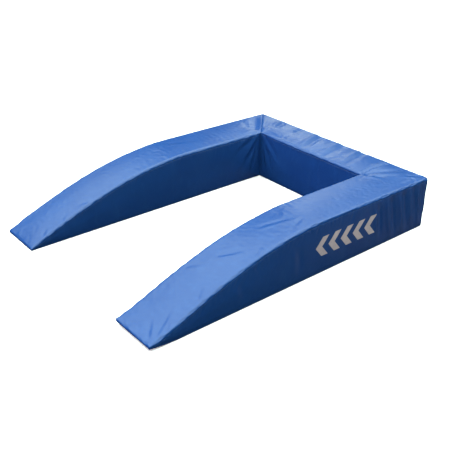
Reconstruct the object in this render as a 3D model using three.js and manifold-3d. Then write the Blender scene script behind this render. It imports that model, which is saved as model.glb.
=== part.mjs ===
// Springboard safety surround: a U-shaped gymnastics mat whose two wedge arms and cross block close
// round three sides of a springboard. Foam blocks sit in a sewn PVC cover with a zip along the back.
// Millimetres, +Z up. The arms' toes point to -Y, the cross block and the zip are at +Y.
import * as THREE from "three";
import { mergeVertices } from "three/addons/utils/BufferGeometryUtils.js";
import Module from "manifold-3d";

const wasm = await Module();
wasm.setup();

// The covered mat.
const WIDTH = 1020; // outside one arm to outside the other
const LENGTH = 1410; // toes to back face
const HEIGHT = 225; // floor to the level top
const ARM_WIDTH = 200;
const CROSS_DEPTH = 195;
const TOE_HEIGHT = 10; // thickness of the wedge at its tip
const SLOPE_LENGTH = 720; // from the tip to where the top turns level
const SLOPE_RADIUS = 2200; // the slope bulges upward on this radius
const SLOPE_STEPS = 28;

// The cover's cloth and its seams.
const CLOTH = 1.5;
const SEAM_GAP = 0.3; // between neighbouring panels
const FOAM_GAP = 0.5; // between the cloth and the foam
const TURN_DOWN = 12; // the top panels turn down over the edges as far as this seam

// The zip in the back face. ZIP_Z is the middle of the chain.
const ZIP_Z = 45;
const ZIP_OPENING = 20; // height of the slot between the two back panels
const CHAIN_HALF = 470; // half the length of the rows of teeth
const ROW_WIDTH = 3.4;
const ROW_SLIT = 1.2; // between the two rows, where the slider's post runs
const ROW_THICKNESS = 2.6;
const TAPE_THICKNESS = 1;
const STOP_LENGTH = 3.4;

// The zip slider and its pull.
const SLIDER_LENGTH = 18;
const SLIDER_WIDTH = 13;
const SLIDER_TAIL_WIDTH = 9;
const SLIDER_TAPER = 4; // length over which the plates narrow to the tail
const PLATE = 1.5; // thickness of the slider's two plates
const SLIDER_GAP = 0.3; // from the plates to the teeth
const POST_LENGTH = 5;
const POST_THICKNESS = 0.6;
const FLANGE_WIDTH = 1.9; // turned edge of each plate
const FLANGE_HEIGHT = 0.7;
const BAIL_LENGTH = 9.2;
const BAIL_WIDTH = 3;
const BAIL_HEIGHT = 4.2;
const BAIL_BAR = 1.3; // thickness of the bail over the pull's pin
const BAIL_LEG = 2;
const PULL_LENGTH = 38;
const PULL_THICKNESS = 1.6;
const PULL_NECK = 7.2; // width of the pull at its eye
const PULL_END = 10; // width of the pull at its free end
const EYE_WIDTH = 4.2;
const EYE_END = 5.4; // from the pin's middle to the far side of the eye
const PIN_SIDES = 24;
const RELIEF = 1; // the foam stays this far clear of the slider
const JOIN = 0.1; // how far joined pieces run into each other

// Colours of the materials.
const ROYAL_BLUE = 0x1f57b4;
const FOAM_CREAM = 0xe8dfb8;
const BASE_NAVY = 0x16264f;
const ZIP_BLACK = 0x17181c;
const NICKEL = 0xb9bcc0;

// Places that follow from the sizes above.
const HALF_WIDTH = WIDTH / 2;
const FRONT = -LENGTH / 2;
const BACK = LENGTH / 2;
const BAY_HALF = HALF_WIDTH - ARM_WIDTH;
const BAY_END = BACK - CROSS_DEPTH;
const FOAM_INSET = CLOTH + FOAM_GAP;
const SEAM_FLOOR = CLOTH + SEAM_GAP; // the walls stand on the base panels
const WALL_HALF = HALF_WIDTH - SEAM_FLOOR; // half the width between the outer side panels
const CHAIN_Y = BACK - CLOTH; // middle of the zip's thickness
const PLATE_OUT = CHAIN_Y + ROW_THICKNESS / 2 + SLIDER_GAP; // underside of the outer plate
const PLATE_IN = CHAIN_Y - ROW_THICKNESS / 2 - SLIDER_GAP; // upper side of the inner plate
const SLIDER_TOP = PLATE_OUT + PLATE;
const STANDOFF = SLIDER_TOP + BAIL_HEIGHT - BACK; // the bail is the outermost point at the back
const PIN_Y = SLIDER_TOP + (BAIL_HEIGHT - BAIL_BAR) / 2;
const SLIDER_X = CHAIN_HALF - SLIDER_LENGTH / 2 - 2 * SEAM_GAP; // closed, against the end stop

// Axes of the planes that outlines are drawn in: an outline's x, its y, and its way of extrusion.
const X = new THREE.Vector3(1, 0, 0);
const Y = new THREE.Vector3(0, 1, 0);
const Z = new THREE.Vector3(0, 0, 1);
const FROM_SIDE = new THREE.Matrix4().makeBasis(Y, Z, X); // y and z, extruded along +X
const FROM_BACK = new THREE.Matrix4().makeBasis(X, Z, Y.clone().negate()); // x and z, along -Y
const FROM_ABOVE = new THREE.Matrix4(); // x and y, extruded along +Z

const material = (color, roughness, metalness = 0) =>
  new THREE.MeshStandardMaterial({ color, roughness, metalness });
const MATERIALS = {
  cover: () => material(ROYAL_BLUE, 0.42),
  foam: () => material(FOAM_CREAM, 0.95),
  base: () => material(BASE_NAVY, 0.85),
  tape: () => material(ZIP_BLACK, 0.9),
  teeth: () => material(ZIP_BLACK, 0.5),
  metal: () => material(NICKEL, 0.3, 1),
};

const mat = new THREE.Group();
function addNode(name, kind, geometry) {
  const mesh = new THREE.Mesh(geometry, MATERIALS[kind]());
  mesh.name = name;
  mat.add(mesh);
  return mesh;
}

// A box between two corners.
function boxBetween([x0, y0, z0], [x1, y1, z1]) {
  const box = new THREE.BoxGeometry(x1 - x0, y1 - y0, z1 - z0);
  return box.translate((x0 + x1) / 2, (y0 + y1) / 2, (z0 + z1) / 2);
}

// An outline drawn in one of the three planes and extruded by depth from the offset.
function extruded(shape, plane, offset, depth) {
  const settings = { depth, bevelEnabled: false, curveSegments: SLOPE_STEPS };
  const geometry = new THREE.ExtrudeGeometry(shape, settings);
  return geometry.translate(0, 0, offset).applyMatrix4(plane);
}

function polygon(points) {
  return new THREE.Shape(points.map(([x, y]) => new THREE.Vector2(x, y)));
}

// three.js geometry to a solid that can be joined and cut, and back.
function toSolid(geometry) {
  const bare = geometry.clone();
  bare.deleteAttribute("normal");
  bare.deleteAttribute("uv");
  const merged = mergeVertices(bare, 1e-4);
  const vertProperties = merged.attributes.position.array;
  const triVerts = new Uint32Array(merged.index.array);
  return new wasm.Manifold(new wasm.Mesh({ numProp: 3, vertProperties, triVerts }));
}

function toGeometry(solid) {
  const { vertProperties, triVerts } = solid.getMesh();
  const geometry = new THREE.BufferGeometry();
  geometry.setAttribute("position", new THREE.BufferAttribute(vertProperties, 3));
  geometry.setIndex(new THREE.BufferAttribute(triVerts, 1));
  geometry.computeVertexNormals();
  return geometry;
}

// The slope of an arm is an arc through the tip and the point where the top turns level.
const chord = Math.hypot(SLOPE_LENGTH, HEIGHT - TOE_HEIGHT);
const sagittaArm = Math.sqrt(SLOPE_RADIUS ** 2 - (chord / 2) ** 2);
const ARC_Y = FRONT + SLOPE_LENGTH / 2 + ((HEIGHT - TOE_HEIGHT) / chord) * sagittaArm;
const ARC_Z = (HEIGHT + TOE_HEIGHT) / 2 - (SLOPE_LENGTH / chord) * sagittaArm;

// Adds the top line of an arm to an outline, from the tip to y = end. The line lies inset below
// the outside of the cloth and is then lowered by drop. It starts at the height low, or at the
// front when low is left out.
function addTopLine(shape, { inset = 0, drop = 0, low = null, end }) {
  const radius = SLOPE_RADIUS - inset;
  const centre = ARC_Z - drop;
  const level = HEIGHT - inset - drop;
  const first =
    low === null
      ? Math.PI - Math.acos((ARC_Y - FRONT - inset) / radius)
      : Math.PI - Math.asin((low - centre) / radius);
  const last = Math.PI - Math.asin((level - centre) / radius);
  shape.absarc(ARC_Y, centre, radius, first, last, true);
  shape.lineTo(end, level);
}

// Side view of an arm, inset on every side.
function armOutline(inset) {
  const shape = new THREE.Shape();
  shape.moveTo(BACK - inset, inset);
  shape.lineTo(FRONT + inset, inset);
  addTopLine(shape, { inset, end: BACK - inset });
  return shape;
}

// Cuts the channel that keeps the foam's back face clear of the zip's slider.
function withZipRelief(geometry) {
  const half = SLIDER_WIDTH / 2 + RELIEF;
  const floor = PLATE_IN - PLATE - RELIEF;
  const low = [-HALF_WIDTH, floor, ZIP_Z - half];
  const channel = boxBetween(low, [HALF_WIDTH, BACK, ZIP_Z + half]);
  return toGeometry(toSolid(geometry).subtract(toSolid(channel)));
}

function addFoam() {
  const width = ARM_WIDTH - 2 * FOAM_INSET;
  const arm = armOutline(FOAM_INSET);
  const left = extruded(arm, FROM_SIDE, -HALF_WIDTH + FOAM_INSET, width);
  const right = extruded(arm, FROM_SIDE, BAY_HALF + FOAM_INSET, width);
  addNode("left_arm_foam", "foam", withZipRelief(left));
  addNode("right_arm_foam", "foam", withZipRelief(right));
  const end = BAY_HALF + FOAM_INSET - SEAM_GAP;
  const low = [-end, BAY_END + FOAM_INSET, FOAM_INSET];
  const cross = boxBetween(low, [end, BACK - FOAM_INSET, HEIGHT - FOAM_INSET]);
  addNode("cross_foam", "foam", withZipRelief(cross));
}

// The whole mat as one solid, inset on every side.
function matSolid(inset) {
  const width = ARM_WIDTH - 2 * inset;
  const arm = armOutline(inset);
  const left = extruded(arm, FROM_SIDE, -HALF_WIDTH + inset, width);
  const right = extruded(arm, FROM_SIDE, BAY_HALF + inset, width);
  const low = [-BAY_HALF - ARM_WIDTH / 2, BAY_END + inset, inset];
  const cross = boxBetween(low, [BAY_HALF + ARM_WIDTH / 2, BACK - inset, HEIGHT - inset]);
  return toSolid(left).add(toSolid(right)).add(toSolid(cross));
}

// The top panels: the upper skin of the mat down to the seam below its edges, parted by a mitre
// at the left corner and by a straight seam in line with the right arm's inner edge.
function addTopPanels() {
  const above = new THREE.Shape();
  above.moveTo(BACK + CLOTH, HEIGHT + CLOTH);
  above.lineTo(FRONT - CLOTH, HEIGHT + CLOTH);
  above.lineTo(FRONT - CLOTH, SEAM_FLOOR);
  addTopLine(above, { drop: TURN_DOWN, low: SEAM_FLOOR, end: BACK + CLOTH });
  const zone = toSolid(extruded(above, FROM_SIDE, -WIDTH, 2 * WIDTH));
  const skin = matSolid(0).subtract(matSolid(CLOTH)).intersect(zone);
  const overrun = 0.1; // the mitre's line runs on past the outer corner by this share
  const mitreX = -BAY_HALF - ARM_WIDTH * (1 + overrun);
  const mitreY = BAY_END + CROSS_DEPTH * (1 + overrun);
  const regions = {
    left_arm_top_panel: [
      [mitreX, FRONT - CLOTH],
      [-BAY_HALF, FRONT - CLOTH],
      [-BAY_HALF, BAY_END],
      [mitreX, mitreY],
    ],
    cross_top_panel: [
      [-BAY_HALF + SEAM_GAP, BAY_END],
      [BAY_HALF - SEAM_GAP, BAY_END],
      [BAY_HALF - SEAM_GAP, mitreY],
      [mitreX + SEAM_GAP, mitreY],
    ],
    right_arm_top_panel: [
      [BAY_HALF, FRONT - CLOTH],
      [WIDTH, FRONT - CLOTH],
      [WIDTH, mitreY],
      [BAY_HALF, mitreY],
    ],
  };
  for (const [name, corners] of Object.entries(regions)) {
    const region = extruded(polygon(corners), FROM_ABOVE, 0, HEIGHT + CLOTH);
    addNode(name, "cover", toGeometry(skin.intersect(toSolid(region))));
  }
}

// The upright panels: two sides to each arm, the bay's end, and the back above and below the zip.
function addWalls() {
  const sideOutline = (end) => {
    const shape = new THREE.Shape();
    addTopLine(shape, { drop: TURN_DOWN + SEAM_GAP, low: SEAM_FLOOR, end });
    shape.lineTo(end, SEAM_FLOOR);
    return shape;
  };
  const bayCorner = BAY_END - SEAM_GAP; // clear of the panel across the bay's end
  const sides = {
    left_outer_side_panel: [BACK, -HALF_WIDTH],
    left_inner_side_panel: [bayCorner, -BAY_HALF - CLOTH],
    right_inner_side_panel: [bayCorner, BAY_HALF],
    right_outer_side_panel: [BACK, HALF_WIDTH - CLOTH],
  };
  for (const [name, [end, offset]] of Object.entries(sides))
    addNode(name, "cover", extruded(sideOutline(end), FROM_SIDE, offset, CLOTH));
  const top = HEIGHT - TURN_DOWN - SEAM_GAP;
  const bayHalf = BAY_HALF - SEAM_GAP;
  const bayPanel = boxBetween([-bayHalf, BAY_END, SEAM_FLOOR], [bayHalf, BAY_END + CLOTH, top]);
  addNode("cross_inner_panel", "cover", bayPanel);
  const backPanel = (low, high) => boxBetween([-WALL_HALF, BACK - CLOTH, low], [WALL_HALF, BACK, high]);
  const slotHalf = ZIP_OPENING / 2;
  addNode("back_upper_panel", "cover", backPanel(ZIP_Z + slotHalf, top));
  addNode("back_lower_panel", "cover", backPanel(SEAM_FLOOR, ZIP_Z - slotHalf));
}

// The non-slip panels that lie on the floor.
function addBase() {
  const arm = (low, high) => boxBetween([low, FRONT, 0], [high, BACK, CLOTH]);
  addNode("left_arm_base_panel", "base", arm(-HALF_WIDTH, -BAY_HALF));
  addNode("right_arm_base_panel", "base", arm(BAY_HALF, HALF_WIDTH));
  const half = BAY_HALF - SEAM_GAP;
  addNode("cross_base_panel", "base", boxBetween([-half, BAY_END, 0], [half, BACK, CLOTH]));
}

// The fixed parts of the zip: two tapes, two rows of teeth, the stops and the tabs over its ends.
function addZip() {
  const rowInner = ROW_SLIT / 2;
  const rowOuter = rowInner + ROW_WIDTH;
  const tapeInner = rowOuter + SEAM_GAP;
  const tapeOuter = ZIP_OPENING / 2 - SEAM_GAP;
  const tapeHalf = CHAIN_HALF + SEAM_GAP + STOP_LENGTH + SEAM_GAP;
  const strip = (low, high, half, thickness) => {
    const y = thickness / 2;
    return boxBetween([-half, CHAIN_Y - y, low], [half, CHAIN_Y + y, high]).translate(0, 0, ZIP_Z);
  };
  addNode("zip_upper_tape", "tape", strip(tapeInner, tapeOuter, tapeHalf, TAPE_THICKNESS));
  addNode("zip_lower_tape", "tape", strip(-tapeOuter, -tapeInner, tapeHalf, TAPE_THICKNESS));
  addNode("zip_upper_teeth", "teeth", strip(rowInner, rowOuter, CHAIN_HALF, ROW_THICKNESS));
  addNode("zip_lower_teeth", "teeth", strip(-rowOuter, -rowInner, CHAIN_HALF, ROW_THICKNESS));
  const stop = () => strip(-rowOuter, rowOuter, STOP_LENGTH / 2, ROW_THICKNESS);
  const stopX = CHAIN_HALF + SEAM_GAP + STOP_LENGTH / 2;
  addNode("zip_start_stop", "metal", stop().translate(-stopX, 0, 0));
  addNode("zip_end_stop", "metal", stop().translate(stopX, 0, 0));
  const tabLow = [tapeHalf + SEAM_GAP, BACK - CLOTH, ZIP_Z - tapeOuter];
  const tab = boxBetween(tabLow, [WALL_HALF, BACK, ZIP_Z + tapeOuter]);
  addNode("right_zip_end_tab", "cover", tab.clone());
  addNode("left_zip_end_tab", "cover", tab.clone().translate(-tapeHalf - SEAM_GAP - WALL_HALF, 0, 0));
}

// The bail: an arch along the middle of the slider's outer plate.
function bailOutline() {
  const half = BAIL_LENGTH / 2;
  const top = SLIDER_TOP + BAIL_HEIGHT;
  const foot = SLIDER_TOP - JOIN;
  const round = BAIL_BAR;
  const shape = new THREE.Shape();
  shape.moveTo(half, foot);
  shape.lineTo(half - BAIL_LEG, foot);
  shape.lineTo(half - BAIL_LEG, top - BAIL_BAR);
  shape.lineTo(-half + BAIL_LEG, top - BAIL_BAR);
  shape.lineTo(-half + BAIL_LEG, foot);
  shape.lineTo(-half, foot);
  shape.absarc(-half + round, top - round, round, Math.PI, Math.PI / 2, true);
  shape.absarc(half - round, top - round, round, Math.PI / 2, 0, true);
  return shape;
}

// The slider: two plates joined by the post between the rows, with turned edges that hold the
// teeth and a bail that holds the pull. It is drawn round x = 0 and z = 0, with its wide mouth,
// where the rows part, towards +X.
function addSlider() {
  const half = SLIDER_LENGTH / 2;
  const wide = SLIDER_WIDTH / 2;
  const tail = SLIDER_TAIL_WIDTH / 2;
  const shoulder = -half + SLIDER_TAPER;
  const plate = polygon([
    [-half, -tail],
    [shoulder, -wide],
    [half, -wide],
    [half, wide],
    [shoulder, wide],
    [-half, tail],
  ]);
  const mouth = half - SEAM_GAP;
  const postLow = [mouth - POST_LENGTH, PLATE_IN - JOIN, -POST_THICKNESS / 2];
  const parts = [
    extruded(plate, FROM_BACK, -SLIDER_TOP, PLATE),
    extruded(plate, FROM_BACK, -PLATE_IN, PLATE),
    boxBetween(postLow, [mouth, PLATE_OUT + JOIN, POST_THICKNESS / 2]),
    extruded(bailOutline(), FROM_ABOVE, -BAIL_WIDTH / 2, BAIL_WIDTH),
  ];
  for (const z of [-wide, wide - FLANGE_WIDTH]) {
    const flange = (low, high) => boxBetween([shoulder, low, z], [half, high, z + FLANGE_WIDTH]);
    parts.push(flange(PLATE_OUT - FLANGE_HEIGHT, PLATE_OUT + JOIN));
    parts.push(flange(PLATE_IN - JOIN, PLATE_IN + FLANGE_HEIGHT));
  }
  const joined = parts.map(toSolid).reduce((whole, part) => whole.add(part));
  addNode("zip_slider", "metal", toGeometry(joined)).position.set(SLIDER_X, 0, ZIP_Z);
}

// The pull: a fork that passes round the bail on a round pin, and a tab with a rounded end. It is
// drawn round the pin's middle and lies flat towards -X.
function addPull() {
  const neck = PULL_NECK / 2;
  const eye = EYE_WIDTH / 2;
  const end = PULL_END / 2;
  const shape = new THREE.Shape();
  shape.moveTo(0, neck);
  shape.lineTo(0, eye);
  shape.lineTo(-EYE_END, eye);
  shape.lineTo(-EYE_END, -eye);
  shape.lineTo(0, -eye);
  shape.lineTo(0, -neck);
  shape.lineTo(-EYE_END, -neck);
  shape.absarc(-PULL_LENGTH + end, 0, end, -Math.PI / 2, Math.PI / 2, true);
  shape.lineTo(-EYE_END, neck);
  const fork = extruded(shape, FROM_BACK, -PULL_THICKNESS / 2, PULL_THICKNESS);
  const radius = PULL_THICKNESS / 2;
  const pin = new THREE.CylinderGeometry(radius, radius, PULL_NECK, PIN_SIDES).rotateX(Math.PI / 2);
  const pull = toGeometry(toSolid(fork).add(toSolid(pin)));
  addNode("zip_pull", "metal", pull).position.set(SLIDER_X, PIN_Y, ZIP_Z);
}

addFoam();
addTopPanels();
addWalls();
addBase();
addZip();
addSlider();
addPull();
mat.position.y = -STANDOFF / 2; // the origin is the middle of the whole, bail included

export default mat;
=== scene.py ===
"""Springboard surround mat: sewn cover, foam, zip and a pale studio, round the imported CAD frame.

Metres, in the CAD frame: +Z up, the arms' toes towards -Y, the cross block and the zip at +Y.
"""
import math

import bmesh
import bpy
import numpy as np
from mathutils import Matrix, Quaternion, Vector, bvhtree, noise


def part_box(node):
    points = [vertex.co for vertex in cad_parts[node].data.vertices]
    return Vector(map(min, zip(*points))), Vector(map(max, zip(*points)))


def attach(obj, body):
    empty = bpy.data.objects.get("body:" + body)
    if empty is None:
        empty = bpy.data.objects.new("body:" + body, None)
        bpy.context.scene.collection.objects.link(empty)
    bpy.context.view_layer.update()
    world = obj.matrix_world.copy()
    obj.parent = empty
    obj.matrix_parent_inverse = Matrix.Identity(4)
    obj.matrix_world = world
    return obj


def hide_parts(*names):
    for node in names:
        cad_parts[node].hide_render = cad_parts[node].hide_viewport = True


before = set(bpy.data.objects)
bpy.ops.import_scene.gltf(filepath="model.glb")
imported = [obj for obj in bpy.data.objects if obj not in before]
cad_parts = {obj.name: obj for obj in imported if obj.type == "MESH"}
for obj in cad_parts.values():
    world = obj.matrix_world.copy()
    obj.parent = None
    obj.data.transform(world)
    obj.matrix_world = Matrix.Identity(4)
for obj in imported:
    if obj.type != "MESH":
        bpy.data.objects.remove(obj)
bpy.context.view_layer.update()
MM = 0.001

# ---------------- sizes from the frame
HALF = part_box("right_outer_side_panel")[1].x
BAY_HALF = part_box("right_inner_side_panel")[0].x
ARM = HALF - BAY_HALF
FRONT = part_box("left_arm_base_panel")[0].y
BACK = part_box("back_upper_panel")[1].y
BAY_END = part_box("cross_inner_panel")[0].y
CROSS = BACK - BAY_END
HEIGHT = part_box("cross_top_panel")[1].z
SLOT_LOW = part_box("back_lower_panel")[1].z
SLOT_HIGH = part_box("back_upper_panel")[0].z
ZIP_Z = (SLOT_LOW + SLOT_HIGH) / 2
TAB_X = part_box("right_zip_end_tab")[0].x

# The arms' slope, as in the CAD model.
TOE = 10 * MM
SLOPE = 720 * MM
SLOPE_RADIUS = 2200 * MM

# The sewn cover.
TURN_DOWN = 12 * MM  # the top panels' seam lies this far below the edge
EDGE_RADIUS = 10 * MM
FOOT_RADIUS = 3 * MM
SWOLLEN = 4.5 * MM  # how far the foam bulges past the slope's arc
KINK = 6 * MM  # how softly the slope runs into the level top
CLOTH = 0.9 * MM
SEAM_DEPTH = 0.35 * MM
TOP_SEAM_DEPTH = 0.7 * MM  # the seams that cross the level top
PUFF = 2.2 * MM  # how far the cloth stands off the sharp-edged mat all over
CROWN = 2.5 * MM  # how far the foam pushes the middle of a face out besides
CELL = 11 * MM
EDGE_CELL = 2.6 * MM


# ---------------- small helpers
def smooth(value, low, high):
    """0 below low, 1 above high, and a smooth step between."""
    t = np.clip((np.asarray(value, float) - low) / (high - low), 0, 1)
    return t * t * (3 - 2 * t)


def spread(length, end, middle, growth=1.45):
    """Fractions from 0 to 1 of lines along a length, close together at its ends."""
    ramp = []
    step = end
    while step < middle:
        ramp.append(step)
        step *= growth
    rest = length - 2 * sum(ramp)
    count = max(1, round(rest / middle))
    steps = ramp + [rest / count] * count + ramp[::-1]
    return np.concatenate([[0], np.cumsum(steps)]) / length


def snapped(lines, value):
    """The lines, with the one nearest to value moved onto it."""
    lines = lines.copy()
    lines[np.abs(lines - value).argmin()] = value
    return lines


def noise_at(points, scale, seed):
    """Smooth noise from -1 to 1 at each point. Scale is the size of its lumps in metres."""
    shift = Vector((seed * 7.3, seed * 3.1, seed * 5.7))
    return np.array([noise.noise(Vector(p) / scale + shift) for p in points])


def new_object(name, verts, faces, material=None, shade_smooth=True):
    mesh = bpy.data.meshes.new(name)
    mesh.from_pydata([tuple(v) for v in verts], [], [tuple(f) for f in faces])
    mesh.update()
    if shade_smooth:
        mesh.shade_smooth()
    obj = bpy.data.objects.new(name, mesh)
    bpy.context.scene.collection.objects.link(obj)
    if material is not None:
        mesh.materials.append(material)
    return obj


def coordinates(obj):
    co = np.zeros(len(obj.data.vertices) * 3)
    obj.data.vertices.foreach_get("co", co)
    return co.reshape(-1, 3)


def set_coordinates(obj, co):
    obj.data.vertices.foreach_set("co", np.asarray(co, float).ravel())
    obj.data.update()


def normals(obj):
    out = np.zeros(len(obj.data.vertices) * 3)
    obj.data.vertices.foreach_get("normal", out)
    return out.reshape(-1, 3)


def apply_modifiers(obj):
    """Puts the evaluated mesh in place of the object's own, and drops its modifiers."""
    graph = bpy.context.evaluated_depsgraph_get()
    mesh = bpy.data.meshes.new_from_object(obj.evaluated_get(graph))
    mesh.name = obj.name
    old = obj.data
    obj.modifiers.clear()
    obj.data = mesh
    bpy.data.meshes.remove(old)


def place(obj, body, slot, *nodes):
    """The piece rides on the body and stands for the nodes; the slot is not used."""
    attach(obj, body)
    if nodes:
        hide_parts(*nodes)
    return obj


# ---------------- camera
CAMERA_AZIMUTH = 49.54
CAMERA_ELEVATION = 27.92
CAMERA_ROLL = 1.254
CAMERA_DISTANCE = 2.798
CAMERA_TARGET = Vector((0.1438, -0.0886, 0.102))
CAMERA_LENS = 56.4


def make_camera():
    azimuth, elevation = math.radians(CAMERA_AZIMUTH), math.radians(CAMERA_ELEVATION)
    across = math.cos(elevation)
    back = Vector((math.sin(azimuth) * across, -math.cos(azimuth) * across, math.sin(elevation)))
    data = bpy.data.cameras.new("camera")
    data.lens = CAMERA_LENS
    data.sensor_width = 36
    camera = bpy.data.objects.new("camera", data)
    bpy.context.scene.collection.objects.link(camera)
    camera.rotation_mode = "QUATERNION"
    facing = (-back).to_track_quat("-Z", "Y")
    roll = facing @ Vector((0, 0, 1))
    camera.rotation_quaternion = Quaternion(roll, math.radians(CAMERA_ROLL)) @ facing
    camera.location = CAMERA_TARGET + back * CAMERA_DISTANCE
    bpy.context.scene.camera = camera


# ---------------- the cover's shape
def slope_height(y):
    """Height of the arms' top at y: an arc from the tip, softly joined to the level top."""
    rise = HEIGHT - TOE
    chord = math.hypot(SLOPE, rise)
    inner = math.sqrt(SLOPE_RADIUS**2 - (chord / 2) ** 2)
    centre_y = FRONT + SLOPE / 2 + rise / chord * inner
    centre_z = (HEIGHT + TOE) / 2 - SLOPE / chord * inner
    arc = centre_z + np.sqrt(SLOPE_RADIUS**2 - (np.minimum(y, centre_y) - centre_y) ** 2)
    blend = np.maximum(KINK - np.abs(arc - HEIGHT), 0) / KINK
    share = np.clip((np.asarray(y) - FRONT) / SLOPE, 0, 1)
    bulge = SWOLLEN * np.sin(math.pi * share**1.6) ** 2
    return np.minimum(arc, HEIGHT) - blend**2 * KINK / 4 + bulge


# Depth below the top edge of the lines round the walls, where the wall is at full height.
WALL_TOP = [0, 2.6, 5.4, 8.6, 12, 15.4, 20]
WALL_FOOT = [215, 219, 222.4, 225]
SEAM_LINE = WALL_TOP.index(12)


def wall_fractions():
    """Height fractions of the wall lines, counted down from the top, and the slot's two lines."""
    top, foot = np.array(WALL_TOP) * MM, np.array(WALL_FOOT) * MM
    slot = [HEIGHT - SLOT_HIGH, HEIGHT - SLOT_LOW]
    upper = np.linspace(top[-1], slot[0], round((slot[0] - top[-1]) / CELL) + 1)
    middle = np.linspace(*slot, 5)
    lower = np.linspace(slot[1], foot[0], 4)
    drops = np.concatenate([top[:-1], upper[:-1], middle[:-1], lower[:-1], foot])
    first = len(top) - 1 + len(upper) - 1
    return drops / HEIGHT, (first, first + 4)


def wall_heights(height, fractions):
    """Heights of the wall lines under a top edge at that height. The seam keeps its depth."""
    drop = fractions * HEIGHT
    seam = drop[SEAM_LINE]
    seam_here = min(seam, height - 2 * MM)
    above = drop * seam_here / seam
    below = seam_here + (drop - seam) / (HEIGHT - seam) * (height - seam_here)
    return height - np.where(np.arange(len(drop)) <= SEAM_LINE, above, below)


def rounded(points):
    """Rounds the edges of the sharp-edged mat that the points lie on."""
    x, y, z = points.T
    height = slope_height(y)
    share = np.clip(z / height, 0, 1)
    radius = FOOT_RADIUS + (EDGE_RADIUS - FOOT_RADIUS) * smooth(share, 0.25, 0.75)
    radius = np.minimum(radius, 0.45 * height)
    arms = [(side * BAY_HALF, side * HALF, FRONT, BACK) for side in (-1, 1)]
    best, core = np.full(len(x), 9.0), np.zeros_like(points)
    for x0, x1, y0, y1 in [*arms, (-HALF, HALF, BAY_END, BACK)]:
        left, right = min(x0, x1) + radius, max(x0, x1) - radius
        near_x = np.clip(x, left, right)
        near_y = np.clip(y, y0 + radius, y1 - radius)
        away = np.hypot(x - near_x, y - near_y)
        nearer = away < best - 1e-9
        best = np.where(nearer, away, best)
        core[nearer, 0], core[nearer, 1] = near_x[nearer], near_y[nearer]
    core[:, 2] = np.clip(z, radius, height - radius)
    out = points - core
    return core + out / np.linalg.norm(out, axis=1)[:, None] * radius[:, None]


# ---------------- the cover's mesh
# The CAD nodes of the sewn panels. The last is no panel, but the open slot with the zip in it.
PANELS = [
    "left_arm_top_panel",
    "cross_top_panel",
    "right_arm_top_panel",
    "left_outer_side_panel",
    "left_inner_side_panel",
    "right_inner_side_panel",
    "right_outer_side_panel",
    "cross_inner_panel",
    "back_upper_panel",
    "back_lower_panel",
    "left_zip_end_tab",
    "right_zip_end_tab",
    "left_arm_base_panel",
    "right_arm_base_panel",
    "cross_base_panel",
    "zip_slot",
]


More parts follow.
